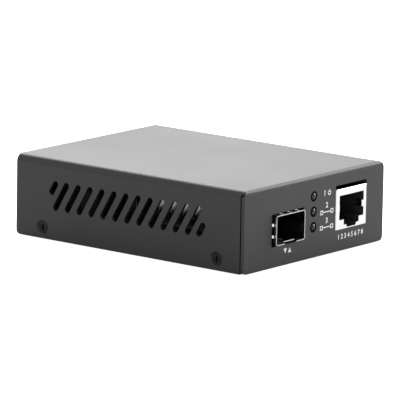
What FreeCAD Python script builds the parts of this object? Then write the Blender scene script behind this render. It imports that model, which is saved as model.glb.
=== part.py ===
import FreeCAD, Part
import math
import os
from FreeCAD import Vector

# Fibre media converter: a folded steel case with an SFP cage and an RJ45 jack in front, and a
# power jack and a slide switch behind. Millimetres. The ports face -Y, +Z is up, and the origin
# lies on the underside, below the middle of the case.

# --- Case -------------------------------------------------------------------------------------
case_width = 74.0
case_depth = 94.5
case_height = 27.0
sheet = 1.2                 # steel of the cover and of the tray
side_fold = 2.5             # outside radius of the folds between the top and the sides
front_fold = 1.3            # outside radius of the fold between the top and the front
seam = 0.45                 # open joint between the front flap and the side walls
seam_end = 30.0             # degrees up the side fold where each seam ends
corner_relief = 0.85        # round hole at that end
relief_forward = 0.15       # its middle in front of the back of the flap
low_corner = 1.5            # rounded lower corners of flap and walls
opening_corner = 0.4        # rounded corners of the square openings
cover_lift = 0.3            # cover edge above the surface that the tray stands on
fit = 0.1                   # working clearance between parts that seat on each other
ease = 0.3                  # running clearance round parts that pass through sheet
past = 1.0                  # how far a cutter reaches past the faces that it opens

# --- Vents in the side walls ------------------------------------------------------------------
vent_width = 2.2
vent_height = 9.9
vent_lean = 30.0            # degrees from upright, towards the front at the top
vent_pitch = 5.0
vent_count = 12
vent_centre_y = 0.8         # middle of the row of whole slots, from the middle of the case
vent_centre_z = 15.1
short_vent_height = 4.8
short_vent_pitch = 4.6      # from the last whole slot to the short one beside it

# --- Tray -------------------------------------------------------------------------------------
tray_fold = 1.5             # outside radius of its folds
tray_flange_height = 8.0
tray_flange_setback = 5.0   # from the front and rear of the tray to the ends of the side flanges
tray_lip_height = 4.2       # low lip behind the foot of the front flap
tray_lip_inset = 6.0        # how much shorter that lip is at each end
rear_inset = 0.3            # rear panel inside the cover's rear edge

# --- Screws -----------------------------------------------------------------------------------
cover_screw_from_end = 11.15
cover_screw_z = 3.9
cover_screw_thread = 2.5
cover_screw_seat = 5.0      # width of the countersink in the wall
cover_screw_seat_depth = 1.15
cover_screw_below = 0.4     # face of the head below the outside of the wall
cover_screw_length = 4.6
thread_point = 0.4          # chamfer at the end of each screw
recess_width = 2.2          # cross recess, tip to tip
recess_floor = 1.3          # the same at its floor
recess_blade = 0.6
recess_depth = 0.7
board_screw_thread = 2.5
board_screw_head = 4.6
board_screw_head_height = 1.7
board_screw_crown = 1.1     # rounded upper edge of the head
board_screw_length = 5.0
thread_gap = 0.03

# --- Circuit board ----------------------------------------------------------------------------
board_underside = 5.7
board_thickness = 1.6
board_side_gap = 1.0        # to the tray's side flanges
board_front_gap = 0.5       # to the back of the front flap
board_rear_gap = 1.2        # to the rear panel
board_corner = 1.0
standoff_body = 5.0
standoff_hex = 5.4
mount_from_side = 3.2       # middle of each standoff from the edges of the board
mount_from_front = 16.55
mount_from_rear = 15.55

# --- SFP cage ---------------------------------------------------------------------------------
cage_from_left = 22.7      # middle of the cage from the left side of the case
cage_width = 15.1
cage_height = 9.8
cage_lift = 0.15            # cage above the board
cage_wall = 0.3
cage_length = 48.8
cage_corner = 0.9
cage_proud = 1.2            # how far it stands out of the front
cage_pin = 0.8
cage_pin_shares = (0.25, 0.5, 0.75, 0.95)       # of the length, along both lower edges
cage_vent = 1.8             # round holes in the roof of the cage
cage_vent_rows = 6
cage_vent_pitch = (3.6, 5.0)
cage_vent_from_front = 14.0
cage_opening_gap_side = 0.85
cage_opening_gap_low = 0.45
tongue_width = 5.4          # latch tongue in the cage floor
tongue_slit = 0.4
tongue_length = 9.5
tongue_rise = 0.55
tongue_setback = 0.7
tongue_root = 1.0           # flat part of the tongue that joins the floor
latch_hole = (2.6, 2.4)     # three-cornered hole in the tongue: its width and length
latch_from_tip = 2.2
latch_corner = 0.2
collar_sheet = 0.15         # spring collar round the mouth of the cage
collar_band = 2.0
collar_from_front = 4.6
finger_width = 0.9
finger_pitch_top = 4.1
finger_pitch_side = 3.75
finger_setback = 0.25       # tips of the fingers behind the mouth of the cage
finger_tip_lift = 0.05
finger_rises = (0.2, 0.4)   # length of the rise to the crest: on the top, at the sides
finger_crest = 0.15         # crest behind the front face
finger_bends = (0.25, 0.3, 1.2)         # before the rise, at the crest, at the foot
finger_gap_low = 0.1        # crest of a finger to the edge of the opening
finger_gap_side = 0.2
edge_plug_width = 12.2      # the edge connector inside the cage
edge_plug_height = 5.6
edge_plug_length = 8.5
edge_plug_chamfer = 0.5
edge_mouth_wall = 1.0
edge_mouth_height = 1.4
edge_mouth_level = 2.2      # above the underside of the connector
edge_mouth_depth = 5.5

# --- RJ45 jack --------------------------------------------------------------------------------
jack_from_right = 17.7      # middle of the jack from the right side of the case
jack_width = 16.5
jack_height = 13.5          # from the board
jack_foot = 0.2             # lower edge of the shield above the board
jack_length = 18.0
jack_proud = 0.25
jack_opening_gap_side = 0.12
jack_opening_gap_top = 1.3
shield_sheet = 0.3
shield_fold = 0.45          # outside radius of its folds
shield_leg_width = 1.2
shield_leg_reach = 0.8      # below the board
shield_leg_from_front = (6.0, 13.5)
jack_peg = 3.0
jack_peg_spread = 11.6      # between the two board pegs
jack_peg_from_front = 9.9
jack_peg_reach = 0.8        # below the board
mouth_width = 13.1          # opening in the face of the shield
mouth_floor = 10.55         # its levels above the underside of the case
mouth_roof = 18.6
mouth_depth = 13.0
mouth_corner = 0.2
key_widths = (8.1, 5.6)     # the two steps for the plug's latch
key_depths = (1.8, 0.95)
key_slope = 0.45            # slanted sides of the lower step
tab_levels = (13.4, 15.5)   # spring tabs, bent in from the two sides of the mouth
tab_bend = 0.55
tab_reach = 2.5             # from the face of the jack to their ends
insert_width = 12.8         # plug opening in the insert
insert_roof = 18.8
insert_chamfer = 0.15
contact_count = 8
contact_pitch = 1.02
contact_wire = 0.45
contact_reach = 8.6         # length of the sloping spring of each contact
contact_drop = 3.0
contact_bend = 0.45
contact_from_front = 2.4    # inside of the bend at the front end of each contact
contact_from_rear = 1.5

# --- Lamps ------------------------------------------------------------------------------------
lamp_from_cage = 13.5       # middle of the lamps from the middle of the cage
lamp_low_z = 10.35
lamp_pitch = 5.05
lamp_diameter = 2.0
lamp_hole = 3.45
lamp_proud = 0.3            # middle of the lens in front of the front face
lamp_crown = 0.35           # how much the lens curves back to its edge
lamp_flange = 3.2
lamp_flange_height = 0.9
lamp_flange_from_front = 1.6            # inside the holder
lamp_holder_width = 4.6
lamp_holder_depth = 6.0
lamp_holder_over = 1.0      # holder above the uppermost flange
lamp_holder_corner = 0.5

# --- Components on the board: sizes as (across, along, height) --------------------------------
lead_sheet = 0.15
lead_width = 0.4
package_chamfer = 0.3
transformer_size = (9.5, 15.0, 5.8)
transformer_lead_count = 12
transformer_lead_pitch = 1.2
transformer_lead_foot = 1.4
transformer_gap = 0.55      # behind the jack
small_package = (3.9, 4.9, 1.5)
small_lead_count = 4
small_lead_pitch = 1.27
small_lead_foot = 1.0
main_chip_size = (12.0, 12.0, 1.1)
main_chip_from_jack = 10.1  # to the left of the middle of the jack
main_chip_y = 4.0           # from the middle of the case
pin_one_mark = 0.9
pin_one_inset = 1.5
pin_one_depth = 0.15
crystal_base = (4.6, 11.4, 0.4)
crystal_can = (3.8, 10.4, 3.1)
crystal_corner = 1.85
crystal_from_jack = 5.4     # to the right of the middle of the jack
memory_from_jack = 2.0
supply_row = 9.95           # middle of the supply's row of components, inwards of the power jack
memory_row = 13.95
output_capacitor_row = 11.95
coil_row = 1.95
input_capacitor_shift = -6.0            # sideways from the power jack
regulator_shift = 9.0
coil_shift = 18.0
output_capacitor_shift = 24.0
coil_size = (8.0, 8.0, 4.0)
coil_corner = 1.2
coil_ring = (4.8, 5.6, 0.4)             # inside and outside diameter and depth of its groove
input_capacitor_size = (8.0, 10.2)      # diameter and height
output_capacitor_size = (6.3, 7.7)
capacitor_base_margin = 0.15
capacitor_base_height = 1.2
capacitor_base_corner = 0.6
capacitor_neck = (1.0, 1.4, 1.8)        # heights above the base: rolled-in ring
capacitor_neck_depth = 0.4
capacitor_bends = (0.2, 0.3, 0.5)       # at the ring's edges, in the ring and at the top

# --- Rear: power jack and slide switch --------------------------------------------------------
power_from_left = 15.0      # middle of the power jack from the left side of the case
power_width = 9.0
power_height = 11.0
power_length = 13.5
power_axis_height = 6.5     # above the board
power_nose = 8.0
power_bore = 6.3
power_bore_depth = 10.0
power_lead_in = (0.4, 0.5)  # its widening and its depth
power_corner = 0.8
power_nose_setback = 0.1    # nose behind the face of the rear panel
power_pin = 2.1
power_pin_length = 8.5
power_pin_root = 2.0        # the part of the pin that is held in the body
power_pin_tip = 0.6
power_leg = 1.6
power_leg_reach = 1.0       # below the board
power_legs = ((0.0, 1.2), (0.0, 7.0), (3.15, 4.0))      # from the middle of its inner end
switch_from_right = 29.0    # middle of the switch from the right side of the case
switch_width = 9.0
switch_height = 4.2
switch_depth = 5.0
switch_wall = 0.4
switch_corner = 0.3
knob_width = 1.8
knob_height = 2.0
knob_travel = 2.0
slider_width = 3.8          # the slider inside the switch, which carries the knob
slider_depth = 1.0
slider_height = 2.8
knob_rim = 0.25

# --- Places worked out from the sizes above ---------------------------------------------------
half_width = case_width / 2
front = -case_depth / 2
rear = case_depth / 2
flap_back = front + sheet
wall_front = flap_back + seam
tray_half = half_width - sheet - fit
tray_front = flap_back + fit
tray_rear = rear - rear_inset
panel_back = tray_rear - sheet
board_top = board_underside + board_thickness
board_half = tray_half - sheet - board_side_gap
board_front = flap_back + board_front_gap
board_rear = panel_back - board_rear_gap
mount_x = board_half - mount_from_side
mount_front_y = board_front + mount_from_front
mount_rear_y = board_rear - mount_from_rear
cover_screw_y = rear - cover_screw_from_end
cage_x = cage_from_left - half_width
jack_x = half_width - jack_from_right
lamp_x = cage_x + lamp_from_cage
power_x = power_from_left - half_width
switch_x = half_width - switch_from_right
cage_front = front - cage_proud
cage_floor = board_top + cage_lift
jack_front = front - jack_proud
jack_rear = jack_front + jack_length
power_back = panel_back - ease          # outer face of the power jack's body
power_inner = power_back - power_length
power_z = board_top + power_axis_height
knob_proud = cage_proud + rear_inset
knob_z = board_top + switch_height / 2


def on_xz(y):
    return lambda u, v: Vector(u, y, v)


def on_yz(x):
    return lambda u, v: Vector(x, u, v)


def on_xy(z):
    return lambda u, v: Vector(u, v, z)


def outline(corners, plane):
    """Closed face through (u, v, radius) corners, each rounded by its own radius."""
    count = len(corners)
    ends = []
    for i, (u, v, radius) in enumerate(corners):
        here = Vector(u, v, 0)
        before = Vector(*corners[i - 1][:2], 0) - here
        after = Vector(*corners[(i + 1) % count][:2], 0) - here
        before.normalize()
        after.normalize()
        if radius <= 0:
            ends.append((here, here, here))
            continue
        half = before.getAngle(after) / 2
        inset = radius / math.tan(half)
        bisector = before + after
        bisector.normalize()
        middle = here + bisector * (radius / math.sin(half) - radius)
        ends.append((here + before * inset, middle, here + after * inset))
    edges = []
    for i, (start, middle, end) in enumerate(ends):
        if (end - start).Length > 1e-6:
            arc = Part.Arc(*(plane(p.x, p.y) for p in (start, middle, end)))
            edges.append(arc.toShape())
        following = ends[(i + 1) % count][0]
        if (following - end).Length > 1e-6:
            edges.append(Part.makeLine(plane(end.x, end.y), plane(following.x, following.y)))
    return Part.Face(Part.Wire(edges))


def rectangle(low, high, plane, radius=0.0):
    (u0, v0), (u1, v1) = low, high
    corners = [(u0, v0, radius), (u1, v0, radius), (u1, v1, radius), (u0, v1, radius)]
    return outline(corners, plane)


def block(low, high):
    size = [b - a for a, b in zip(low, high)]
    return Part.makeBox(*size, Vector(*low))


def rod(start, axis, length, diameter):
    return Part.makeCylinder(diameter / 2, length, Vector(*start), Vector(*axis))


def strip(path, thickness, plane):
    """Face of a bent strip: an open path of (u, v, radius), thickened to its left."""
    count = len(path)
    left = []
    for i, (u, v, radius) in enumerate(path):
        here = Vector(u, v, 0)
        runs = []
        if i > 0:
            runs.append(here - Vector(*path[i - 1][:2], 0))
        if i < count - 1:
            runs.append(Vector(*path[i + 1][:2], 0) - here)
        normals = []
        for run in runs:
            run.normalize()
            normals.append(Vector(-run.y, run.x, 0))
        mitre = normals[0] + normals[-1]
        mitre = mitre * (2.0 / mitre.dot(mitre))
        side = here + mitre * thickness
        turn = 0.0
        if len(runs) == 2:
            turn = runs[0].cross(runs[1]).z
        new_radius = radius - thickness if turn > 0 else radius + thickness
        left.append((side.x, side.y, max(new_radius, 0.0) if radius > 0 else 0.0))
    return outline(list(path) + left[::-1], plane)


def slot_cutter(centre_y, centre_z, height):
    """Slanted obround bar across the case, which opens the same slot in both side walls."""
    lean = math.radians(vent_lean)
    along = Vector(0, -math.sin(lean), math.cos(lean))
    across = Vector(0, along.z, -along.y) * (vent_width / 2)
    reach = along * ((height - vent_width) / 2 / math.cos(lean))
    tip = along * (vent_width / 2)
    centre = Vector(-half_width - past, centre_y, centre_z)
    top_arc = Part.Arc(centre + reach - across, centre + reach + tip, centre + reach + across)
    low_arc = Part.Arc(centre - reach + across, centre - reach - tip, centre - reach - across)
    sides = (Part.makeLine(centre + reach + across, centre - reach + across),
             Part.makeLine(centre - reach - across, centre + reach - across))
    edges = [top_arc.toShape(), sides[0], low_arc.toShape(), sides[1]]
    return Part.Face(Part.Wire(edges)).extrude(Vector(case_width + 2 * past, 0, 0))


def vent_cutters():
    first = vent_centre_y - vent_pitch * (vent_count - 1) / 2
    whole = [slot_cutter(first + vent_pitch * i, vent_centre_z, vent_height)
             for i in range(vent_count)]
    last = first + vent_pitch * (vent_count - 1)
    shift = (vent_height - short_vent_height) / 2
    slide = shift * math.tan(math.radians(vent_lean))
    low_short = slot_cutter(first - short_vent_pitch + slide, vent_centre_z - shift,
                            short_vent_height)
    high_short = slot_cutter(last + short_vent_pitch - slide, vent_centre_z + shift,
                             short_vent_height)
    return whole + [low_short, high_short]


def cage_opening():
    """The four sides of the hole in the front flap that the SFP cage looks out of."""
    low = (cage_x - cage_width / 2 - cage_opening_gap_side, cage_floor - cage_opening_gap_low)
    high = (cage_x + cage_width / 2 + cage_opening_gap_side,
            cage_floor + cage_height + cage_opening_gap_low)
    return low, high


def jack_opening():
    low = (jack_x - jack_width / 2 - jack_opening_gap_side,
           board_top + jack_foot - jack_opening_gap_side)
    high = (jack_x + jack_width / 2 + jack_opening_gap_side,
            board_top + jack_height + jack_opening_gap_top)
    return low, high


def lamp_heights():
    return [lamp_low_z + lamp_pitch * i for i in range(3)]


def seam_cutters(side):
    """Slit between the flap and one side wall, up to a round hole part way up the side fold."""
    slope = math.radians(seam_end)
    centre_x, centre_z = side * (half_width - side_fold), case_height - side_fold
    out = Vector(side * math.cos(slope), 0, math.sin(slope))
    reach = side_fold + past
    slit = outline([(centre_x, -past, 0), (centre_x, centre_z, 0),
                    (centre_x + out.x * reach, centre_z + out.z * reach, 0),
                    (side * (half_width + past), -past, 0)],
                   on_xz(flap_back)).extrude(Vector(0, seam, 0))
    hole = rod((centre_x, flap_back - relief_forward, centre_z), out, reach, corner_relief)
    return [slit, hole]


def top_cover():
    """Top, both side walls and front flap, folded from one sheet."""
    inner = side_fold - sheet
    walls = [(-half_width, cover_lift, 0), (-half_width, case_height, side_fold),
             (half_width, case_height, side_fold), (half_width, cover_lift, 0),
             (half_width - sheet, cover_lift, 0),
             (half_width - sheet, case_height - sheet, inner),
             (-half_width + sheet, case_height - sheet, inner),
             (-half_width + sheet, cover_lift, 0)]
    cover = outline(walls, on_xz(flap_back)).extrude(Vector(0, rear - flap_back, 0))

    flap = outline([(-half_width, cover_lift, low_corner), (half_width, cover_lift, low_corner),
                    (half_width, case_height, side_fold), (-half_width, case_height, side_fold)],
                   on_xz(front)).extrude(Vector(0, sheet, 0))
    fold = outline([(front, 0, 0), (front, case_height, front_fold),
                    (rear, case_height, 0), (rear, 0, 0)],
                   on_yz(-half_width)).extrude(Vector(case_width, 0, 0))
    cover = cover.fuse(flap).common(fold)

    cutters = vent_cutters()
    for side in (-1, 1):
        cutters += seam_cutters(side)
        for y in (-cover_screw_y, cover_screw_y):
            outer = Vector(side * half_width, y, cover_screw_z)
            inward = Vector(-side, 0, 0)
            cutters.append(Part.makeCone(cover_screw_seat / 2, cover_screw_thread / 2 + fit,
                                         cover_screw_seat_depth, outer, inward))
            cutters.append(Part.makeCylinder(cover_screw_thread / 2 + fit, 2 * sheet,
                                             outer, inward))
    for low, high in (cage_opening(), jack_opening()):
        hole = rectangle(low, high, on_xz(front - past), opening_corner)
        cutters.append(hole.extrude(Vector(0, sheet + 2 * past, 0)))
    for z in lamp_heights():
        cutters.append(rod((lamp_x, front - past, z), (0, 1, 0), sheet + 2 * past, lamp_hole))
    cover = cover.cut(cutters).removeSplitter()
    return round_wall_feet(cover)


def round_wall_feet(cover):
    """Ease the sharp lower rear corners of the two side walls."""
    feet = []
    for edge in cover.Edges:
        centre = edge.CenterOfMass
        across = abs(abs(edge.tangentAt(edge.FirstParameter).x) - 1) < 1e-6
        if across and abs(centre.z - cover_lift) < 1e-6 and abs(centre.y - rear) < 1e-6:
            feet.append(edge)
    return cover.makeFillet(low_corner, feet)


def tray():
    """Bottom with a rear panel, two side flanges and a low front lip, folded from one sheet."""
    inner = tray_fold - sheet
    flange_from = tray_front + tray_flange_setback
    flange_to = panel_back - tray_flange_setback
    plate_half = tray_half - tray_fold
    plate = block((-plate_half, tray_front + tray_fold, 0), (plate_half, tray_rear - tray_fold, sheet))
    channel = [(-tray_half, tray_flange_height, 0), (-tray_half, 0, tray_fold),
               (tray_half, 0, tray_fold), (tray_half, tray_flange_height, 0),
               (tray_half - sheet, tray_flange_height, 0), (tray_half - sheet, sheet, inner),
               (-tray_half + sheet, sheet, inner), (-tray_half + sheet, tray_flange_height, 0)]
    flanges = outline(channel, on_xz(flange_from)).extrude(Vector(0, flange_to - flange_from, 0))

    panel_top = case_height - sheet - fit
    panel_fold = [(tray_rear - tray_fold, 0, 0), (tray_rear, 0, tray_fold), (tray_rear, panel_top, 0),
                  (panel_back, panel_top, 0), (panel_back, sheet, inner),
                  (tray_rear - tray_fold, sheet, 0)]
    panel = outline(panel_fold, on_yz(-plate_half)).extrude(Vector(2 * plate_half, 0, 0))
    panel_corner = side_fold - sheet
    wings = rectangle((-tray_half, tray_fold + sheet), (tray_half, panel_top), on_xz(panel_back),
                      panel_corner).extrude(Vector(0, sheet, 0))
    lip_half = plate_half - tray_lip_inset
    lip_fold = [(tray_front, tray_lip_height, 0), (tray_front, 0, tray_fold),
                (tray_front + tray_fold, 0, 0), (tray_front + tray_fold, sheet, 0),
                (tray_front + sheet, sheet, inner), (tray_front + sheet, tray_lip_height, 0)]
    lip = outline(lip_fold, on_yz(-lip_half)).extrude(Vector(2 * lip_half, 0, 0))
    body = plate.fuse([flanges, panel, wings, lip])

    cutters = []
    for side in (-1, 1):
        for y in (-cover_screw_y, cover_screw_y):
            cutters.append(rod((side * (tray_half - 2 * sheet), y, cover_screw_z), (side, 0, 0),
                               3 * sheet, cover_screw_thread + 2 * thread_gap))
    for x, y in mount_places():
        cutters.append(hexagon(x, y, -past, standoff_hex + 2 * thread_gap, sheet + 2 * past))
    cutters.append(rod((power_x, panel_back - past, power_z), (0, 1, 0), sheet + 2 * past,
                       power_nose + 2 * ease))
    slot_half = (knob_width + knob_travel) / 2 + ease
    slot_high = knob_height / 2 + ease
    slot = rectangle((switch_x - slot_half, knob_z - slot_high),
                     (switch_x + slot_half, knob_z + slot_high), on_xz(panel_back - past),
                     opening_corner)
    cutters.append(slot.extrude(Vector(0, sheet + 2 * past, 0)))
    return body.cut(cutters).removeSplitter()


def mount_places():
    return [(x, y) for y in (mount_front_y, mount_rear_y) for x in (-mount_x, mount_x)]


def hexagon(x, y, z, across_flats, height):
    radius = across_flats / math.sqrt(3)
    corners = [(x + radius * math.cos(math.radians(60 * i)),
                y + radius * math.sin(math.radians(60 * i)), 0) for i in range(6)]
    return outline(corners, on_xy(z)).extrude(Vector(0, 0, height))


def standoff(x, y):
    """Clinched standoff: a hexagonal foot in the tray and a round body under the board."""
    foot = hexagon(x, y, 0, standoff_hex, sheet)
    body = rod((x, y, sheet), (0, 0, 1), board_underside - sheet, standoff_body)
    bore = rod((x, y, -past), (0, 0, 1), board_underside + 2 * past,
               board_screw_thread + 2 * thread_gap)
    return foot.fuse(body).cut(bore).removeSplitter()


def cross_recess(depth):
    """Cross-shaped pocket, opening downwards from z = 0, narrower at its floor."""
    arms = []
    for turn in (0, 90):
        wide, narrow = recess_width / 2, recess_floor / 2
        arm = Part.Face(Part.makePolygon([Vector(-wide, 0, 0.01), Vector(wide, 0, 0.01),
                                          Vector(narrow, 0, -depth), Vector(-narrow, 0, -depth),
                                          Vector(-wide, 0, 0.01)]))
        arm = arm.extrude(Vector(0, recess_blade, 0))
        arm.translate(Vector(0, -recess_blade / 2, 0))
        arm.rotate(Vector(0, 0, 0), Vector(0, 0, 1), turn)
        arms.append(arm)
    return arms[0].fuse(arms[1])


def turned(profile):
    """Solid of revolution about Z from the (radius, z, rounding) corners of half its section."""
    return outline(profile, on_xz(0)).revolve(Vector(0, 0, 0), Vector(0, 0, 1), 360)


def cover_screw(side, y):
    """Countersunk screw, made upright below z = 0, the wall's face, and turned into the wall."""
    stem = cover_screw_thread / 2
    slope = (cover_screw_seat / 2 - stem - fit) / cover_screw_seat_depth
    face = -cover_screw_below
    head = cover_screw_seat / 2 - slope * cover_screw_below - 2 * thread_gap
    neck = face - (head - stem) / slope
    end = face - cover_screw_length
    screw = turned([(0, face, 0), (0, end, 0), (stem - thread_point, end, 0),
                    (stem, end + thread_point, 0), (stem, neck, 0), (head, face, 0)])
    recess = cross_recess(recess_depth)
    recess.translate(Vector(0, 0, face))
    screw = screw.cut(recess)
    screw.rotate(Vector(0, 0, 0), Vector(0, 1, 0), 90 * side)
    screw.translate(Vector(side * half_width, y, cover_screw_z))
    return screw


def board_screw(x, y):
    """Pan-head screw that holds the board down on its standoff."""
    head = board_screw_head / 2
    stem = board_screw_thread / 2
    screw = turned([(0, board_screw_head_height, 0), (0, -board_screw_length, 0),
                    (stem - thread_point, -board_screw_length, 0),
                    (stem, thread_point - board_screw_length, 0), (stem, 0, 0), (head, 0, 0),
                    (head, board_screw_head_height, board_screw_crown)])
    recess = cross_recess(recess_depth)
    recess.translate(Vector(0, 0, board_screw_head_height))
    screw = screw.cut(recess)
    screw.translate(Vector(x, y, board_top))
    return screw


def jack_peg_places():
    y = jack_front + jack_peg_from_front
    return [(jack_x + side * jack_peg_spread / 2, y) for side in (-1, 1)]


def cage_pin_places():
    """Press-fit pins along both lower edges of the cage."""
    inset = cage_width / 2 - cage_wall / 2
    return [(cage_x + side * inset, cage_front + cage_length * share)
            for share in cage_pin_shares for side in (-1, 1)]


def power_leg_places():
    return [(power_x + across, power_inner + along) for across, along in power_legs]


def circuit_board():
    board = rectangle((-board_half, board_front), (board_half, board_rear),
                      on_xy(board_underside), board_corner)
    board = board.extrude(Vector(0, 0, board_thickness)).cut(shield_leg_blocks(2 * fit))
    holes = [(x, y, board_screw_thread + 2 * ease) for x, y in mount_places()]
    holes += [(x, y, jack_peg + 2 * fit) for x, y in jack_peg_places()]
    holes += [(x, y, cage_pin + 2 * fit) for x, y in cage_pin_places()]
    holes += [(x, y, power_leg + 2 * fit) for x, y in power_leg_places()]
    drills = [rod((x, y, board_underside - past), (0, 0, 1), board_thickness + 2 * past, diameter)
              for x, y, diameter in holes]
    return board.cut(drills)


def sfp_cage():
    """Square steel tube with a latch tongue in its floor, vent holes on top and board pins."""
    x0, x1 = cage_x - cage_width / 2, cage_x + cage_width / 2
    z0, z1 = cage_floor, cage_floor + cage_height
    tube = rectangle((x0, z0), (x1, z1), on_xz(cage_front), cage_corner)
    tube = tube.extrude(Vector(0, cage_length, 0))
    hollow = rectangle((x0 + cage_wall, z0 + cage_wall), (x1 - cage_wall, z1 - cage_wall),
                       on_xz(cage_front - past), cage_corner - cage_wall)
    tube = tube.cut(hollow.extrude(Vector(0, cage_length - cage_wall + past, 0)))

    slit_half = tongue_width / 2 + tongue_slit
    root = cage_front + tongue_setback + tongue_length
    tube = tube.cut(block((cage_x - slit_half, cage_front - past, z0 - past),
                          (cage_x + slit_half, root, z0 + cage_wall + thread_gap)))
    tip = cage_front + tongue_setback
    lift = z0 + tongue_rise
    side = [(root + tongue_root, z0, 0), (root, z0, 0), (tip, lift, 0), (tip, lift + cage_wall, 0),
            (root, z0 + cage_wall, 0), (root + tongue_root, z0 + cage_wall, 0)]
    tongue = outline(side, on_yz(cage_x - tongue_width / 2)).extrude(Vector(tongue_width, 0, 0))
    latch_half = latch_hole[0] / 2
    latch_back = tip + latch_from_tip + latch_hole[1]
    latch = [(cage_x - latch_half, latch_back, latch_corner),
             (cage_x, tip + latch_from_tip, latch_corner),
             (cage_x + latch_half, latch_back, latch_corner)]
    tongue = tongue.cut(outline(latch, on_xy(z0 - past)).extrude(Vector(0, 0, 2 * past + lift)))

    vents = []
    across, along = cage_vent_pitch
    for row in range(cage_vent_rows):
        for column in (-1, 0, 1):
            place = (cage_x + across * column, cage_front + cage_vent_from_front + along * row,
                     z1 - past)
            vents.append(rod(place, (0, 0, 1), 2 * past, cage_vent))
    pins = [rod((x, y, board_underside), (0, 0, 1), cage_floor + cage_corner - board_underside,
                cage_pin)
            for x, y in cage_pin_places()]
    return tube.cut(vents).fuse([tongue] + pins).removeSplitter()


def spring_collar():
    """Thin band round the cage whose fingers bow out towards the edges of the front opening."""
    gap = thread_gap
    x0, x1 = cage_x - cage_width / 2 - gap, cage_x + cage_width / 2 + gap
    z0, z1 = cage_floor, cage_floor + cage_height + gap
    y0 = cage_front + collar_from_front
    skin = collar_sheet
    saddle = [(x0 - skin, z0, 0), (x0 - skin, z1 + skin, cage_corner + skin),
              (x1 + skin, z1 + skin, cage_corner + skin), (x1 + skin, z0, 0), (x1, z0, 0),
              (x1, z1, cage_corner), (x0, z1, cage_corner), (x0, z0, 0)]
    band = outline(saddle, on_xz(y0)).extrude(Vector(0, collar_band, 0))

    def finger(peak, rise):
        """Bowed strip, lying along Y with its foot at the band, and rising along +Z."""
        tip = cage_front + finger_setback
        crest = front + finger_crest
        path = [(tip, finger_tip_lift, 0), (crest - rise, finger_tip_lift, finger_bends[0]),
                (crest, peak - skin, finger_bends[1]), (y0, 0, finger_bends[2]),
                (y0 + collar_band / 2, 0, 0)]
        face = strip(path, skin, on_yz(-finger_width / 2))
        return face.extrude(Vector(finger_width, 0, 0))

    fingers = []
    low_peak = cage_opening_gap_low - finger_gap_low
    side_peak = cage_opening_gap_side - finger_gap_side
    for i in (-1, 0, 1):
        top = finger(low_peak, finger_rises[0])
        top.translate(Vector(cage_x + finger_pitch_top * i, 0, z1))
        fingers.append(top)
    for side, x in ((-1, x0), (1, x1)):
        for i in (-0.5, 0.5):
            flank = finger(side_peak, finger_rises[1])
            flank.rotate(Vector(0, 0, 0), Vector(0, 1, 0), 90 * side)
            height = cage_floor + cage_height / 2 + finger_pitch_side * i
            flank.translate(Vector(x, 0, height))
            fingers.append(flank)
    return band.fuse(fingers).removeSplitter()


def edge_connector():
    """Slot connector at the inner end of the cage, with its mouth towards the front."""
    back = cage_front + cage_length - cage_wall - fit
    low = (cage_x - edge_plug_width / 2, back - edge_plug_length, cage_floor + cage_wall + fit)
    high = (cage_x + edge_plug_width / 2, back, low[2] + edge_plug_height)
    body = block(low, high)
    body = body.makeChamfer(edge_plug_chamfer, [e for e in body.Edges
                                                if abs(e.CenterOfMass.y - low[1]) < 1e-6])
    level = low[2] + edge_mouth_level
    mouth = block((low[0] + edge_mouth_wall, low[1] - past, level),
                  (high[0] - edge_mouth_wall, low[1] + edge_mouth_depth, level + edge_mouth_height))
    return body.cut(mouth)


def key_steps(front_face, reach):
    """Cutters for the two latch steps below the mouth, the lower one with slanted sides."""
    cuts = []
    level = mouth_floor
    for width, depth, slope in zip(key_widths, key_depths, (0, key_slope)):
        half = width / 2
        corners = [(jack_x - half + slope, level - depth, 0), (jack_x + half - slope, level - depth, 0),
                   (jack_x + half, level + mouth_corner, 0), (jack_x - half, level + mouth_corner, 0)]
        cuts.append(outline(corners, on_xz(front_face)).extrude(Vector(0, reach, 0)))
        level -= depth
    return cuts


def contact_grooves():
    groove_half = contact_wire / 2 + fit
    grooves = []
    for x in contact_places():
        grooves.append(block((x - groove_half, jack_front + contact_from_front - contact_wire - fit,
                              insert_roof - fit),
                             (x + groove_half, jack_rear - contact_from_rear,
                              insert_roof + contact_wire + 2 * fit)))
    return grooves


def contact_places():
    first = jack_x - contact_pitch * (contact_count - 1) / 2
    return [first + contact_pitch * i for i in range(contact_count)]


def shield_leg_blocks(spare):
    """The four board legs of the shield, grown all round by spare."""
    legs = []
    for side in (-1, 1):
        outer = jack_x + side * jack_width / 2
        low_x, high_x = sorted((outer, outer - side * shield_sheet))
        for start in shield_leg_from_front:
            y = jack_front + start
            legs.append(block((low_x - spare, y - spare, board_underside - shield_leg_reach),
                              (high_x + spare, y + shield_leg_width + spare,
                               board_top + jack_foot + shield_fold)))
    return legs


def spring_tab(side):
    """Tab of the shield that turns in from one side of the mouth and back along the plug."""
    edge = jack_x + side * mouth_width / 2
    inner = edge - side * tab_bend
    path = [(edge + side * shield_fold, jack_front, 0), (inner, jack_front, tab_bend),
            (inner, jack_front + tab_reach, 0)]
    face = strip(path, -side * shield_sheet, on_xy(tab_levels[0]))
    return face.extrude(Vector(0, 0, tab_levels[1] - tab_levels[0]))


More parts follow.
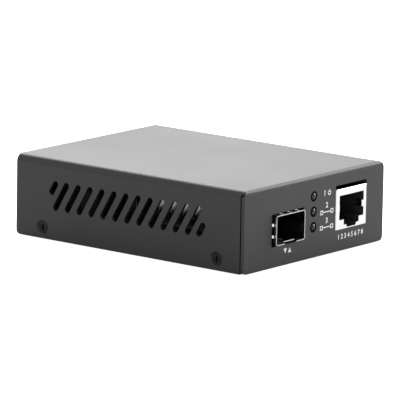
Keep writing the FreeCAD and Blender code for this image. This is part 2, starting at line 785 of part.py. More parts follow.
def rj45_housing():
    """Folded steel shield of the jack: face with the mouth, top, sides, back, tabs and legs."""
    x0, x1 = jack_x - jack_width / 2, jack_x + jack_width / 2
    z0, z1 = board_top + jack_foot, board_top + jack_height
    shield = block((x0, jack_front, z0), (x1, jack_rear, z1))
    bends = [e for e in shield.Edges if e.CenterOfMass.z > z0 + 1e-6]
    shield = shield.makeFillet(shield_fold, bends)
    hollow = block((x0 + shield_sheet, jack_front + shield_sheet, z0 - past),
                   (x1 - shield_sheet, jack_rear - shield_sheet, z1 - shield_sheet))
    bends = [e for e in hollow.Edges if e.CenterOfMass.z > z0]
    cuts = [hollow.makeFillet(shield_fold - shield_sheet, bends)]
    mouth = rectangle((jack_x - mouth_width / 2, mouth_floor), (jack_x + mouth_width / 2, mouth_roof),
                      on_xz(jack_front - past), mouth_corner)
    cuts.append(mouth.extrude(Vector(0, shield_sheet + 2 * past, 0)))
    cuts += key_steps(jack_front - past, shield_sheet + 2 * past)
    extras = shield_leg_blocks(0) + [spring_tab(-1), spring_tab(1)]
    return shield.cut(cuts).fuse(extras).removeSplitter()


def rj45_insert():
    """Black core of the jack: walls round the plug, a groove for every contact, and board pegs."""
    half = jack_width / 2 - shield_sheet - fit
    face = jack_front + shield_sheet + fit
    back = jack_rear - shield_sheet - fit
    roof = board_top + jack_height - shield_sheet - fit
    core = block((jack_x - half, face, board_top), (jack_x + half, back, roof))
    bends = [e for e in core.Edges if e.CenterOfMass.z > board_top + 1e-6]
    core = core.makeChamfer(insert_chamfer, bends)
    hollow = rectangle((jack_x - insert_width / 2, mouth_floor),
                       (jack_x + insert_width / 2, insert_roof), on_xz(face - past), 0)
    overhang = block((jack_x - half - past, face - past, board_top - past),
                     (jack_x + half + past, board_front, board_top + jack_foot))
    cuts = [hollow.extrude(Vector(0, mouth_depth + past, 0)), overhang]
    cuts += key_steps(face - past, mouth_depth + past) + contact_grooves()
    pegs = [rod((x, y, board_underside - jack_peg_reach), (0, 0, 1),
                board_thickness + jack_peg_reach + insert_chamfer, jack_peg)
            for x, y in jack_peg_places()]
    return core.cut(cuts).fuse(pegs).removeSplitter()


def rj45_contact(x):
    """Sprung wire: along the roof towards the front, round, and back down into the mouth."""
    high = insert_roof + fit
    start = jack_rear - contact_from_rear - fit
    nose = jack_front + contact_from_front
    path = [(start, high, 0), (nose, high, contact_bend),
            (nose, high - 2 * contact_bend, contact_bend),
            (nose + contact_reach, high - contact_drop, 0)]
    face = strip(path, -contact_wire, on_yz(x - contact_wire / 2))
    return face.extrude(Vector(contact_wire, 0, 0))


def lamp(z):
    """Light pipe with a slightly domed face and a flange in its holder."""
    radius = lamp_diameter / 2
    tip = front - lamp_proud
    edge = tip + lamp_crown
    back = board_front + lamp_flange_from_front
    end = back + lamp_flange_height
    rim = lamp_flange / 2
    curve = (radius ** 2 + lamp_crown ** 2) / (2 * lamp_crown)
    half_turn = math.asin(radius / curve) / 2
    dome = Part.Arc(Vector(0, tip, 0),
                    Vector(curve * math.sin(half_turn), tip + curve * (1 - math.cos(half_turn)), 0),
                    Vector(radius, edge, 0)).toShape()
    sides = Part.makePolygon([Vector(radius, edge, 0), Vector(radius, back, 0),
                              Vector(rim, back, 0), Vector(rim, end, 0),
                              Vector(0, end, 0), Vector(0, tip, 0)])
    profile = Part.Face(Part.Wire([dome] + sides.Edges))
    body = profile.revolve(Vector(0, 0, 0), Vector(0, 1, 0), 360)
    body.translate(Vector(lamp_x, 0, z))
    return body


def lamp_holder():
    """Stack that carries the three lamps at right angles to the board."""
    half = lamp_holder_width / 2
    top = lamp_heights()[-1] + lamp_flange / 2 + lamp_holder_over
    face = rectangle((lamp_x - half, board_top), (lamp_x + half, top), on_xz(board_front),
                     lamp_holder_corner)
    body = face.extrude(Vector(0, lamp_holder_depth, 0))
    pockets = []
    for z in lamp_heights():
        pockets.append(rod((lamp_x, board_front - past, z), (0, 1, 0),
                           past + lamp_flange_from_front, lamp_diameter + 2 * fit))
        pockets.append(rod((lamp_x, board_front + lamp_flange_from_front - fit, z), (0, 1, 0),
                           lamp_flange_height + 2 * fit, lamp_flange + 2 * fit))
    return body.cut(pockets)


def gull_wing(foot, height):
    """Bent lead that leaves a package at half its height, steps down and rests on the board."""
    path = [(0, height, 0), (foot * 0.45, height, lead_sheet), (foot * 0.55, lead_sheet, lead_sheet),
            (foot, lead_sheet, 0)]
    face = strip(path, -lead_sheet, on_xz(-lead_width / 2))
    return face.extrude(Vector(0, lead_width, 0))


def leaded_package(x, y, size, per_side, pitch, foot):
    """Moulded package with gull-wing leads along its two long sides."""
    across, along, height = size
    half_x, half_y = across / 2, along / 2
    body = block((x - half_x, y - half_y, board_top + lead_sheet),
                 (x + half_x, y + half_y, board_top + height))
    upper = [e for e in body.Edges if abs(e.CenterOfMass.z - board_top - height) < 1e-6]
    body = body.makeChamfer(package_chamfer, upper)
    leads = []
    for side in (-1, 1):
        for i in range(per_side):
            lead = gull_wing(foot, height * 0.45)
            if side < 0:
                lead.rotate(Vector(0, 0, 0), Vector(0, 0, 1), 180)
            lead.translate(Vector(x + side * (half_x - thread_gap),
                                  y + (i - (per_side - 1) / 2) * pitch, board_top))
            leads.append(lead)
    return body.fuse(leads).removeSplitter()


def line_transformer():
    y = jack_rear + transformer_gap + transformer_size[1] / 2
    return leaded_package(jack_x, y, transformer_size, transformer_lead_count, transformer_lead_pitch,
                          transformer_lead_foot)


def small_chip(x, y):
    return leaded_package(x, y, small_package, small_lead_count, small_lead_pitch, small_lead_foot)


def upright(x, y, size, corner, z):
    """Block with rounded upright corners, size (across, along, height), from z upwards."""
    across, along, height = size
    face = rectangle((x - across / 2, y - along / 2), (x + across / 2, y + along / 2),
                     on_xy(z), corner)
    return face.extrude(Vector(0, 0, height))


def main_chip():
    """Square leadless package with a marked corner."""
    across, along, height = main_chip_size
    x = jack_x - main_chip_from_jack
    body = upright(x, main_chip_y, main_chip_size, 0, board_top)
    dimple = rod((x - across / 2 + pin_one_inset, main_chip_y - along / 2 + pin_one_inset,
                  board_top + height - pin_one_depth), (0, 0, 1), past, pin_one_mark)
    return body.cut(dimple)


def crystal():
    x = jack_x + crystal_from_jack
    base = upright(x, main_chip_y, crystal_base, crystal_corner, board_top)
    can = upright(x, main_chip_y, crystal_can, crystal_corner, board_top + crystal_base[2])
    return base.fuse(can)


def power_coil():
    x, y = power_x + coil_shift, power_inner - coil_row
    body = upright(x, y, coil_size, coil_corner, board_top)
    inside, outside, depth = coil_ring
    floor = (x, y, board_top + coil_size[2] - depth)
    groove = rod(floor, (0, 0, 1), past, outside).cut(rod(floor, (0, 0, 1), past, inside))
    return body.cut(groove)


def capacitor(x, y, size):
    """Electrolytic can on its square base, with the rolled-in ring near its foot."""
    diameter, height = size
    side = diameter + 2 * capacitor_base_margin
    base = upright(x, y, (side, side, capacitor_base_height), capacitor_base_corner, board_top)
    radius = diameter / 2
    foot = board_top + capacitor_base_height
    low, middle, high = capacitor_neck
    edge, ring, rim = capacitor_bends
    can = turned([(0, foot, 0), (radius, foot, 0), (radius, foot + low, edge),
                  (radius - capacitor_neck_depth, foot + middle, ring),
                  (radius, foot + high, edge), (radius, board_top + height, rim),
                  (0, board_top + height, 0)])
    can.translate(Vector(x, y, 0))
    return base.fuse(can)


def power_jack():
    """Barrel jack: a block on the board with a round nose through the rear panel."""
    x, z = power_x, power_z
    half = power_width / 2
    body = rectangle((x - half, board_top), (x + half, board_top + power_height),
                     on_xz(power_inner), power_corner)
    body = body.extrude(Vector(0, power_length, 0))
    nose_tip = tray_rear - power_nose_setback
    nose = rod((x, power_back - past, z), (0, 1, 0), nose_tip - power_back + past, power_nose)
    legs = [rod((px, py, board_underside - power_leg_reach), (0, 0, 1),
                board_thickness + power_leg_reach + power_corner, power_leg)
            for px, py in power_leg_places()]
    floor = tray_rear - power_bore_depth
    bore = rod((x, floor, z), (0, 1, 0), power_bore_depth + past, power_bore)
    seat = rod((x, floor - power_pin_root, z), (0, 1, 0), power_pin_root + past,
               power_pin + 2 * thread_gap)
    widening, depth = power_lead_in
    lead_in = Part.makeCone(power_bore / 2, power_bore / 2 + widening, depth,
                            Vector(x, tray_rear - depth, z), Vector(0, 1, 0))
    return body.fuse([nose] + legs).cut([bore, seat, lead_in]).removeSplitter()


def power_jack_pin():
    """Centre pin of the barrel jack, with a rounded tip."""
    foot = tray_rear - power_bore_depth - power_pin_root + fit
    length = power_pin_length + power_pin_root
    pin = rod((power_x, foot, power_z), (0, 1, 0), length, power_pin)
    tip = [e for e in pin.Edges if abs(e.CenterOfMass.y - foot - length) < 1e-6]
    return pin.makeFillet(power_pin_tip, tip)


def switch_can():
    """Pressed frame of the slide switch, open below, with a window for the knob."""
    x0, x1 = switch_x - switch_width / 2, switch_x + switch_width / 2
    y1 = panel_back - fit
    y0 = y1 - switch_depth
    z0, z1 = board_top, board_top + switch_height
    can = block((x0, y0, z0), (x1, y1, z1))
    can = can.makeFillet(switch_corner, [e for e in can.Edges if abs(e.CenterOfMass.z - z1) < 1e-6])
    hollow = block((x0 + switch_wall, y0 - past, z0 - past),
                   (x1 - switch_wall, y1 - switch_wall, z1 - switch_wall))
    window_half = (knob_width + knob_travel) / 2 + fit
    window = block((switch_x - window_half, y1 - past, knob_z - knob_height / 2 - fit),
                   (switch_x + window_half, y1 + past, knob_z + knob_height / 2 + fit))
    return can.cut([hollow, window])


def switch_base():
    """Moulded base behind the slider, which closes the frame and stands on the board."""
    y1 = panel_back - fit - switch_wall - slider_depth - 2 * fit
    y0 = panel_back - fit - switch_depth
    half = switch_width / 2 - switch_wall - fit
    top = board_top + switch_height - switch_wall - fit
    return block((switch_x - half, y0, board_top), (switch_x + half, y1, top))


def switch_knob():
    """Slider and knob in one moulding, at the left end of its travel."""
    rest_x = switch_x - knob_travel / 2
    face = panel_back - fit - switch_wall - fit
    slider = block((rest_x - slider_width / 2, face - slider_depth, knob_z - slider_height / 2),
                   (rest_x + slider_width / 2, face, knob_z + slider_height / 2))
    tip = tray_rear + knob_proud
    knob = block((rest_x - knob_width / 2, face - fit, knob_z - knob_height / 2),
                 (rest_x + knob_width / 2, tip, knob_z + knob_height / 2))
    rims = [e for e in knob.Edges if abs(e.CenterOfMass.y - tip) < 1e-6]
    return slider.fuse(knob.makeFillet(knob_rim, rims)).removeSplitter()


def pieces():
    """Every piece of the converter by the name of its node."""
    made = {"top_cover": top_cover(), "tray": tray(), "circuit_board": circuit_board()}
    for side, side_name in ((-1, "left"), (1, "right")):
        for end, end_name in ((-1, "front"), (1, "rear")):
            made[f"cover_screw_{end_name}_{side_name}"] = cover_screw(side, end * cover_screw_y)
            y = mount_front_y if end < 0 else mount_rear_y
            made[f"standoff_{end_name}_{side_name}"] = standoff(side * mount_x, y)
            made[f"board_screw_{end_name}_{side_name}"] = board_screw(side * mount_x, y)
    made["sfp_cage"] = sfp_cage()
    made["sfp_spring_collar"] = spring_collar()
    made["sfp_edge_connector"] = edge_connector()
    made["rj45_housing"] = rj45_housing()
    made["rj45_insert"] = rj45_insert()
    for i, x in enumerate(contact_places(), start=1):
        made[f"rj45_contact_{i}"] = rj45_contact(x)
    for name, z in zip(("copper", "fibre", "power"), lamp_heights()):
        made[f"lamp_{name}"] = lamp(z)
    made["lamp_holder"] = lamp_holder()
    made["line_transformer"] = line_transformer()
    made["main_chip"] = main_chip()
    made["memory_chip"] = small_chip(jack_x + memory_from_jack, power_inner - memory_row)
    made["regulator_chip"] = small_chip(power_x + regulator_shift, power_inner - supply_row)
    made["crystal"] = crystal()
    made["power_coil"] = power_coil()
    made["input_capacitor"] = capacitor(power_x + input_capacitor_shift, power_inner - supply_row,
                                        input_capacitor_size)
    made["output_capacitor"] = capacitor(power_x + output_capacitor_shift,
                                         power_inner - output_capacitor_row,
                                         output_capacitor_size)
    made["power_jack"] = power_jack()
    made["power_jack_pin"] = power_jack_pin()
    made["switch_can"] = switch_can()
    made["switch_base"] = switch_base()
    made["switch_knob"] = switch_knob()
    return made


os.makedirs("parts", exist_ok=True)
for name, shape in pieces().items():
    shape.exportStep(f"parts/{name}.step")
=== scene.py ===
import bmesh
import bpy
import math
from mathutils import Matrix, Vector


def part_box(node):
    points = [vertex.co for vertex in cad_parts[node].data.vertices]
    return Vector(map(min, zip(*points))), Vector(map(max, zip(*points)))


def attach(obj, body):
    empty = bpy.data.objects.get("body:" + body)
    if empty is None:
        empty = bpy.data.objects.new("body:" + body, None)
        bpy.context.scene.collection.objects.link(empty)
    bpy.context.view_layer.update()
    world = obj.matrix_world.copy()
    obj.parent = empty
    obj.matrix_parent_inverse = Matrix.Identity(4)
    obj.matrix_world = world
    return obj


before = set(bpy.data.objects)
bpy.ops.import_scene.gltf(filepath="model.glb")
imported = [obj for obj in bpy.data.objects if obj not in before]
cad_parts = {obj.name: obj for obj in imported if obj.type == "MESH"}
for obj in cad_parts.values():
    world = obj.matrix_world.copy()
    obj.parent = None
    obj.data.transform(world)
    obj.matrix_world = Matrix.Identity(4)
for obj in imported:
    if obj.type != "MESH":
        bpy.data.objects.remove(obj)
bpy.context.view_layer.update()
scene = bpy.context.scene
MM = 0.001

# --- Camera, light and floor --------------------------------------------------------------
CAMERA_AZIMUTH = -51.7      # degrees from straight in front of the ports, to their left
CAMERA_ELEVATION = 11.4
CAMERA_ROLL = 1.0
CAMERA_DISTANCE = 1.445
CAMERA_LENS = 397           # mm, on a sensor 36 mm wide
CASE_MIDDLE = 13.5 * MM     # height of the middle of the case
AIM_RIGHT = 0.05 * MM       # where the camera aims, across and below that middle
AIM_DOWN = 0.9 * MM

TENT_SEEN = 1.05            # brightness of the tent to the camera
TENT_LIGHT = 0.65           # and to everything else
FLOOR_GLOW = 0.84           # light that the floor adds for the camera only
FLOOR_SIZE = 8.0

SOFTBOXES = {               # place, size and watts
    "right_rear_softbox": ((1.25, 1.0, 0.35), (1.6, 0.7), 5.5),
    "right_softbox": ((1.5, -0.3, 0.5), (1.0, 0.8), 10),
    "right_overhead_softbox": ((1.3, 0, 0.95), (1.6, 0.7), 9),
    "rear_overhead_softbox": ((0.8, 1.0, 1.0), (0.8, 0.7), 8),
    "left_rear_softbox": ((-1.0, 0.8, 0.8), (0.9, 0.6), 0.5),
    "left_softbox": ((-1.6, 0, 0.6), (1.0, 0.9), 4),
    "small_right_softbox": ((0.55, -0.15, 0.2), (0.3, 0.3), 1),
}


def set_camera():
    """A long lens to the left of the ports, a little above the top of the case."""
    azimuth, elevation, roll = (math.radians(a)
                                for a in (CAMERA_AZIMUTH, CAMERA_ELEVATION, CAMERA_ROLL))
    back = Vector((math.sin(azimuth) * math.cos(elevation),
                   -math.cos(azimuth) * math.cos(elevation), math.sin(elevation)))
    level = Vector((math.cos(azimuth), math.sin(azimuth), 0))
    upright = back.cross(level)
    right = level * math.cos(roll) + upright * math.sin(roll)
    up = upright * math.cos(roll) - level * math.sin(roll)
    aim = Vector((0, 0, CASE_MIDDLE)) + right * AIM_RIGHT - up * AIM_DOWN
    lens = bpy.data.cameras.new("camera")
    lens.sensor_width = 36
    lens.lens = CAMERA_LENS
    lens.clip_start, lens.clip_end = 0.05, 50
    camera = bpy.data.objects.new("camera", lens)
    place = Matrix((right, up, back)).transposed().to_4x4()
    place.translation = aim + back * CAMERA_DISTANCE
    camera.matrix_world = place
    scene.collection.objects.link(camera)
    scene.camera = camera


def softbox(name, place, size, watts):
    """Rectangular lamp aimed at the object, which lights it and stays out of sight."""
    panel = bpy.data.lights.new(name, "AREA")
    panel.shape = "RECTANGLE"
    panel.size, panel.size_y = size
    panel.energy = watts
    lamp = bpy.data.objects.new(name, panel)
    turn = (-Vector(place)).to_track_quat("-Z", "Y").to_matrix().to_4x4()
    lamp.matrix_world = Matrix.Translation(place) @ turn
    lamp.visible_camera = False
    scene.collection.objects.link(lamp)


def set_light():
    """A white tent, brighter to the camera than to the object, with soft boxes in it."""
    world = bpy.data.worlds.new("studio")
    world.use_nodes = True
    tree = world.node_tree
    background = tree.nodes["Background"]
    background.inputs["Color"].default_value = (1, 1, 1, 1)
    seen = tree.nodes.new("ShaderNodeLightPath").outputs["Is Camera Ray"]
    join(tree, spread(tree, seen, 0, 1, TENT_LIGHT, TENT_SEEN), background.inputs["Strength"])
    scene.world = world
    scene.view_settings.view_transform = "Standard"
    for name, (place, size, watts) in SOFTBOXES.items():
        softbox(name, place, size, watts)


def lay_floor():
    bm = bmesh.new()
    bmesh.ops.create_grid(bm, x_segments=1, y_segments=1, size=FLOOR_SIZE / 2)
    floor = finished("floor", bm, pale_floor())


# --- Meshes -------------------------------------------------------------------------------
def finished(name, bm, mat):
    """Object at the origin made from bm, which is used up, in one finish."""
    mesh = bpy.data.meshes.new(name)
    bm.to_mesh(mesh)
    bm.free()
    mesh.materials.append(mat)
    piece = bpy.data.objects.new(name, mesh)
    scene.collection.objects.link(piece)
    return piece


def small_block(bm, middle, size, edge):
    """Adds a block to bm, with all its edges eased by the given width."""
    made = bmesh.ops.create_cube(bm, size=1.0)["verts"]
    bmesh.ops.scale(bm, vec=size, verts=made)
    bmesh.ops.translate(bm, vec=middle, verts=made)
    edges = list({e for v in made for e in v.link_edges})
    bmesh.ops.bevel(bm, geom=edges, offset=edge, offset_type="OFFSET", segments=2, profile=0.5,
                    affect="EDGES", material=-1, clamp_overlap=True)


def middle_of(name):
    """Middle of a node's box."""
    low, high = (Vector(corner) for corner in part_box(name))
    return (low + high) / 2


# --- Nodes that the finishes are wired from -----------------------------------------------
def join(tree, source, target):
    tree.links.new(source, target)


def set_or_join(tree, value, socket):
    """Gives a socket a number, or the link of another socket."""
    if isinstance(value, (int, float)):
        socket.default_value = value
    else:
        join(tree, value, socket)


def noise(tree, vector, scale, detail):
    node = tree.nodes.new("ShaderNodeTexNoise")
    node.inputs["Detail"].default_value = detail
    set_or_join(tree, scale, node.inputs["Scale"])
    join(tree, vector, node.inputs["Vector"])
    return node.outputs["Fac"]


def spread(tree, value, low, high, start, end):
    """Value from low..high carried over to start..end, each a number or a socket."""
    node = tree.nodes.new("ShaderNodeMapRange")
    join(tree, value, node.inputs["Value"])
    labels = ("From Min", "From Max", "To Min", "To Max")
    for label, bound in zip(labels, (low, high, start, end)):
        set_or_join(tree, bound, node.inputs[label])
    return node.outputs["Result"]


def mixed(tree, factor, first, second):
    """Colour that goes from the first to the second with the factor."""
    node = tree.nodes.new("ShaderNodeMix")
    node.data_type = "RGBA"
    join(tree, factor, node.inputs["Factor"])
    for label, colour in (("A", first), ("B", second)):
        socket = next(s for s in node.inputs if s.name == label and s.type == "RGBA")
        socket.default_value = (*colour, 1)
    return next(s for s in node.outputs if s.type == "RGBA")


# --- Effects that several finishes share --------------------------------------------------
def effect(name, inputs, outputs):
    """Node group with named value sockets: returns the group and its two end nodes."""
    group = bpy.data.node_groups.new(name, "ShaderNodeTree")
    for label, kind, value in inputs:
        socket = group.interface.new_socket(label, in_out="INPUT", socket_type=kind)
        if value is not None:
            socket.default_value = value
    for label in outputs:
        group.interface.new_socket(label, in_out="OUTPUT", socket_type="NodeSocketFloat")
    return group, group.nodes.new("NodeGroupInput"), group.nodes.new("NodeGroupOutput")


def make_cloudiness():
    """Soft uneven patches: Amount runs between Low and High."""
    group, given, result = effect(
        "cloudiness",
        [("Place", "NodeSocketVector", None), ("Patches per metre", "NodeSocketFloat", 40.0),
         ("Low", "NodeSocketFloat", 0.0), ("High", "NodeSocketFloat", 1.0)],
        ["Amount"])
    field = noise(group, given.outputs["Place"], given.outputs["Patches per metre"], 3.0)
    amount = spread(group, field, 0.3, 0.7, given.outputs["Low"], given.outputs["High"])
    join(group, amount, result.inputs["Amount"])
    return group


def make_grain():
    """Fine pebbled surface, as in powder paint or spark-eroded moulds."""
    group, given, result = effect(
        "grain",
        [("Place", "NodeSocketVector", None), ("Grains per metre", "NodeSocketFloat", 3000.0)],
        ["Height"])
    fine = noise(group, given.outputs["Place"], given.outputs["Grains per metre"], 2.0)
    join(group, spread(group, fine, 0.25, 0.75, 0.0, 1.0), result.inputs["Height"])
    return group


def make_rolling():
    """Fine lines, as in rolled sheet. They run along the axis that Stretch makes small."""
    group, given, result = effect(
        "rolling",
        [("Place", "NodeSocketVector", None), ("Stretch", "NodeSocketVector", (1.0, 0.04, 1.0)),
         ("Lines per metre", "NodeSocketFloat", 3500.0)],
        ["Height", "Amount"])
    scaled = group.nodes.new("ShaderNodeVectorMath")
    scaled.operation = "MULTIPLY"
    join(group, given.outputs["Place"], scaled.inputs[0])
    join(group, given.outputs["Stretch"], scaled.inputs[1])
    lines = noise(group, scaled.outputs["Vector"], given.outputs["Lines per metre"], 3.0)
    join(group, lines, result.inputs["Height"])
    join(group, spread(group, lines, 0.35, 0.65, 0.0, 1.0), result.inputs["Amount"])
    return group


effects = {"cloudiness": make_cloudiness(), "grain": make_grain(), "rolling": make_rolling()}


def use(tree, name, **values):
    """Places an effect in a material on Object coordinates and returns its outputs."""
    node = tree.nodes.new("ShaderNodeGroup")
    node.node_tree = effects[name]
    place = next((n for n in tree.nodes if n.type == "TEX_COORD"), None)
    place = place or tree.nodes.new("ShaderNodeTexCoord")
    join(tree, place.outputs["Object"], node.inputs["Place"])
    for label, value in values.items():
        node.inputs[label.replace("_", " ")].default_value = value
    return node.outputs


# --- Finishes -----------------------------------------------------------------------------
def finish_of(name, **constants):
    """New material with one Principled shader: returns the material, its tree and the shader."""
    mat = bpy.data.materials.new(name)
    mat.use_nodes = True
    tree = mat.node_tree
    shader = tree.nodes["Principled BSDF"]
    for label, value in constants.items():
        shader.inputs[label.replace("_", " ")].default_value = value
    return mat, tree, shader


def cloudy_colour(tree, shader, patches, dark, light):
    tone = use(tree, "cloudiness", Patches_per_metre=patches)["Amount"]
    join(tree, mixed(tree, tone, dark, light), shader.inputs["Base Color"])


def cloudy_gloss(tree, shader, patches, roughness):
    gloss = use(tree, "cloudiness", Patches_per_metre=patches,
                Low=roughness[0], High=roughness[1])["Amount"]
    join(tree, gloss, shader.inputs["Roughness"])


def bumped(tree, shader, height, depth):
    node = tree.nodes.new("ShaderNodeBump")
    node.inputs["Distance"].default_value = depth
    join(tree, height, node.inputs["Height"])
    join(tree, node.outputs["Normal"], shader.inputs["Normal"])


def coated(name, dark, light, roughness, ior, tone_patches, gloss_patches, grains, depth):
    """Paint, ink or plastic: cloudy in tone and gloss, over a fine grain."""
    mat, tree, shader = finish_of(name, IOR=ior)
    cloudy_colour(tree, shader, tone_patches, dark, light)
    cloudy_gloss(tree, shader, gloss_patches, roughness)
    bumped(tree, shader, use(tree, "grain", Grains_per_metre=grains)["Height"], depth)
    return mat


def case_paint():
    """Satin powder paint."""
    return coated("case_paint", (0.0165, 0.0165, 0.0172), (0.0195, 0.0195, 0.0202), (0.36, 0.40),
                  1.5, 60.0, 25.0, 2600.0, 0.006 * MM)


def print_ink():
    """Pale screen print, a little uneven where it lies over the paint's grain."""
    return coated("print_ink", (0.80, 0.80, 0.80), (0.88, 0.88, 0.88), (0.45, 0.60),
                  1.48, 900.0, 400.0, 2600.0, 0.004 * MM)


def moulded(name, dark, light, roughness):
    """Plastic with a fine mould grain."""
    return coated(name, dark, light, roughness, 1.49, 150.0, 80.0, 4000.0, 0.005 * MM)


def metal(name, dark, light, roughness, depth=0.004 * MM):
    """Bare or plated metal with fine rolling lines."""
    mat, tree, shader = finish_of(name, Metallic=1.0)
    lines = use(tree, "rolling")
    join(tree, mixed(tree, lines["Amount"], dark, light), shader.inputs["Base Color"])
    cloudy_gloss(tree, shader, 120.0, roughness)
    bumped(tree, shader, lines["Height"], depth)
    return mat


def pale_floor():
    """White floor that glows for the camera only, which sees through it from below."""
    mat, tree, shader = finish_of("pale_floor", Roughness=0.9)
    cloudy_colour(tree, shader, 3.0, (0.84, 0.84, 0.84), (0.86, 0.86, 0.86))
    glow = tree.nodes.new("ShaderNodeEmission")
    seen = tree.nodes.new("ShaderNodeLightPath").outputs["Is Camera Ray"]
    join(tree, spread(tree, seen, 0, 1, 0.0, FLOOR_GLOW), glow.inputs["Strength"])
    lit = tree.nodes.new("ShaderNodeAddShader")
    join(tree, shader.outputs["BSDF"], lit.inputs[0])
    join(tree, glow.outputs["Emission"], lit.inputs[1])
    clear = tree.nodes.new("ShaderNodeBsdfTransparent")
    side = tree.nodes.new("ShaderNodeNewGeometry")
    choice = tree.nodes.new("ShaderNodeMixShader")
    join(tree, side.outputs["Backfacing"], choice.inputs["Fac"])
    join(tree, lit.outputs["Shader"], choice.inputs[1])
    join(tree, clear.outputs["BSDF"], choice.inputs[2])
    join(tree, choice.outputs["Shader"], tree.nodes["Material Output"].inputs["Surface"])
    return mat


def dress(names, mat):
    for name in names:
        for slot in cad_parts[name].material_slots:
            slot.material = mat


def nodes_starting(*beginnings):
    return [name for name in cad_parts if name.startswith(beginnings)]


def worn_by(name):
    """Finish that a dressed node of the frame wears."""
    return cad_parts[name].material_slots[0].material


def dress_all():
    """Gives every node of the frame its finish."""
    dress(["top_cover", "tray"], case_paint())
    dress(nodes_starting("cover_screw"),
          metal("black_zinc", (0.027, 0.027, 0.028), (0.039, 0.039, 0.040), (0.40, 0.48)))
    dress(nodes_starting("standoff", "board_screw") + ["switch_can", "power_jack_pin"],
          metal("bright_nickel", (0.50, 0.50, 0.47), (0.66, 0.65, 0.61), (0.22, 0.34)))
    dress(["sfp_cage"],
          metal("tinned_steel", (0.50, 0.50, 0.49), (0.60, 0.60, 0.585), (0.13, 0.19),
                depth=0.0015 * MM))
    dress(["rj45_housing", "sfp_spring_collar"],
          metal("bright_plate", (0.82, 0.80, 0.775), (0.90, 0.88, 0.855), (0.10, 0.16)))
    dress(nodes_starting("rj45_contact"),
          metal("gold_flash", (0.80, 0.56, 0.24), (0.92, 0.70, 0.36), (0.16, 0.26)))
    dress(["crystal"],
          metal("drawn_aluminium", (0.60, 0.60, 0.61), (0.76, 0.76, 0.77), (0.24, 0.34)))
    dress(["lamp_copper", "lamp_fibre", "lamp_power"],
          moulded("smoked_lens", (0.009, 0.009, 0.0095), (0.014, 0.014, 0.0145), (0.10, 0.15)))
    dress(["lamp_holder", "rj45_insert", "sfp_edge_connector", "power_jack", "switch_base",
           "switch_knob"],
          moulded("black_plastic", (0.018, 0.018, 0.018), (0.026, 0.026, 0.026), (0.42, 0.52)))
    dress(["line_transformer", "main_chip", "memory_chip", "regulator_chip", "power_coil"],
          moulded("moulded_resin", (0.020, 0.020, 0.021), (0.030, 0.030, 0.032), (0.50, 0.62)))
    dress(["input_capacitor", "output_capacitor"],
          moulded("capacitor_sleeve", (0.005, 0.006, 0.008), (0.008, 0.009, 0.011), (0.86, 0.94)))
    dress(["circuit_board"],
          moulded("solder_mask", (0.004, 0.030, 0.015), (0.006, 0.042, 0.021), (0.26, 0.34)))


# --- Print on the front -------------------------------------------------------------------
INK_LIFT = 0.012 * MM       # print in front of the paint
LINE = 0.34 * MM            # width of the lines of the marks
LAMP_NUMBER = 2.5 * MM      # height of the numbers beside the lamps
PIN_NUMBER = 2.2 * MM       # and of those under the jack
PORT_MARK_Z = 4.9 * MM      # level of the marks under the two ports
print_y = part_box("top_cover")[0][1] - INK_LIFT


def printed(bm, text, x, z, height):
    """Adds one line of plain numbers to bm, centred at x and z on the front of the cover."""
    line = bpy.data.curves.new("numbers", "FONT")
    line.body = text
    line.align_x, line.align_y = "CENTER", "CENTER"
    line.size = height
    line.space_character = 1.05
    line.resolution_u = 3
    line.offset = 0.07 * MM
    carrier = bpy.data.objects.new("numbers", line)
    mesh = bpy.data.meshes.new_from_object(carrier)
    mesh.transform(Matrix.Translation((x, print_y, z)) @ Matrix.Rotation(math.pi / 2, 4, "X"))
    bm.from_mesh(mesh)
    bpy.data.meshes.remove(mesh)
    bpy.data.objects.remove(carrier)


def flat_shape(bm, corners):
    """Adds a printed patch with the given x and z corners to bm."""
    bm.faces.new([bm.verts.new((x, print_y, z)) for x, z in corners])


def bar(bm, x, z, width, height):
    left, right, low, high = x - width / 2, x + width / 2, z - height / 2, z + height / 2
    flat_shape(bm, [(left, low), (right, low), (right, high), (left, high)])


def arrow_head(bm, x, z, width, height):
    """Triangle that points up, or down for a negative height."""
    low, high = z - height / 2, z + height / 2
    flat_shape(bm, [(x - width / 2, low), (x + width / 2, low), (x, high)])


def open_square(bm, x, z, side):
    reach = (side - LINE) / 2
    for way in (-1, 1):
        bar(bm, x, z + way * reach, side, LINE)
        bar(bm, x + way * reach, z, LINE, side - 2 * LINE)


def power_mark(bm, x, z):
    """Ring open at the top, with an upright bar in the gap."""
    radius, gap = 0.85 * MM, 0.2
    start = math.pi / 2 + gap * math.pi
    ends = [bm.verts.new((x + math.cos(start) * r, print_y, z + math.sin(start) * r))
            for r in (radius - LINE, radius)]
    bmesh.ops.spin(bm, geom=ends + [bm.edges.new(ends)], cent=(x, print_y, z), axis=(0, -1, 0),
                   dvec=(0, 0, 0), angle=2 * math.pi * (1 - gap), steps=28, use_merge=False)
    bar(bm, x, z + 0.65 * MM, 0.36 * MM, 0.9 * MM)


def link_mark(bm, x, z):
    """Two open squares joined by a line."""
    bar(bm, x, z, 3.9 * MM, LINE)
    for way in (-1, 1):
        open_square(bm, x + way * 2.75 * MM, z, 1.5 * MM)


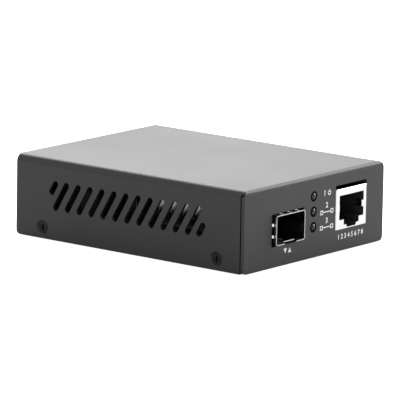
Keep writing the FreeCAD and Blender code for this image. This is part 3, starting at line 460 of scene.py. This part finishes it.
def face_print():
    """Numbers and marks beside the lamps, and marks under the two ports."""
    bm = bmesh.new()
    power, fibre, copper = (middle_of(name).z
                            for name in ("lamp_power", "lamp_fibre", "lamp_copper"))
    label_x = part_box("rj45_housing")[0][0] - 4.75 * MM
    printed(bm, "1", label_x - 1.3 * MM, power + 0.15 * MM, LAMP_NUMBER)
    power_mark(bm, label_x + 1.2 * MM, power + 0.1 * MM)
    for number, z in (("2", fibre), ("3", copper)):
        printed(bm, number, label_x, z + 1.15 * MM, LAMP_NUMBER)
        link_mark(bm, label_x, z - 1.0 * MM)
    for way in (-1, 1):
        arrow_head(bm, middle_of("sfp_cage").x + way * 1.15 * MM, PORT_MARK_Z,
                   1.7 * MM, way * 1.6 * MM)
    printed(bm, "1 2 3 4 5 6 7 8", middle_of("rj45_housing").x, PORT_MARK_Z, PIN_NUMBER)
    bmesh.ops.recalc_face_normals(bm, faces=bm.faces)
    bmesh.ops.triangulate(bm, faces=[f for f in bm.faces if len(f.verts) > 4])
    face = finished("face_print", bm, print_ink())
    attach(face, "converter")


# --- Springs inside the cage --------------------------------------------------------------
SPRING_COUNT = 10           # in each of the two rows
SPRING_PITCH = 0.8 * MM
SPRING_SIZE = (0.35 * MM, 4.4 * MM, 0.2 * MM)
SPRING_LEVELS = (2.3 * MM, 3.5 * MM)    # above the underside of the connector
SPRING_FROM_FRONT = 2.7 * MM            # their middle, from the connector's front


def module_contacts():
    """Two rows of gilt springs in the mouth of the connector that the module meets."""
    low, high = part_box("sfp_edge_connector")
    bm = bmesh.new()
    for i in range(SPRING_COUNT):
        x = (low[0] + high[0]) / 2 + (i - (SPRING_COUNT - 1) / 2) * SPRING_PITCH
        for level in SPRING_LEVELS:
            small_block(bm, (x, low[1] + SPRING_FROM_FRONT, low[2] + level), SPRING_SIZE, 0.04 * MM)
    contacts = finished("module_contacts", bm, worn_by("rj45_contact_1"))
    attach(contacts, "converter")


set_camera()
set_light()
lay_floor()
dress_all()
face_print()
module_contacts()
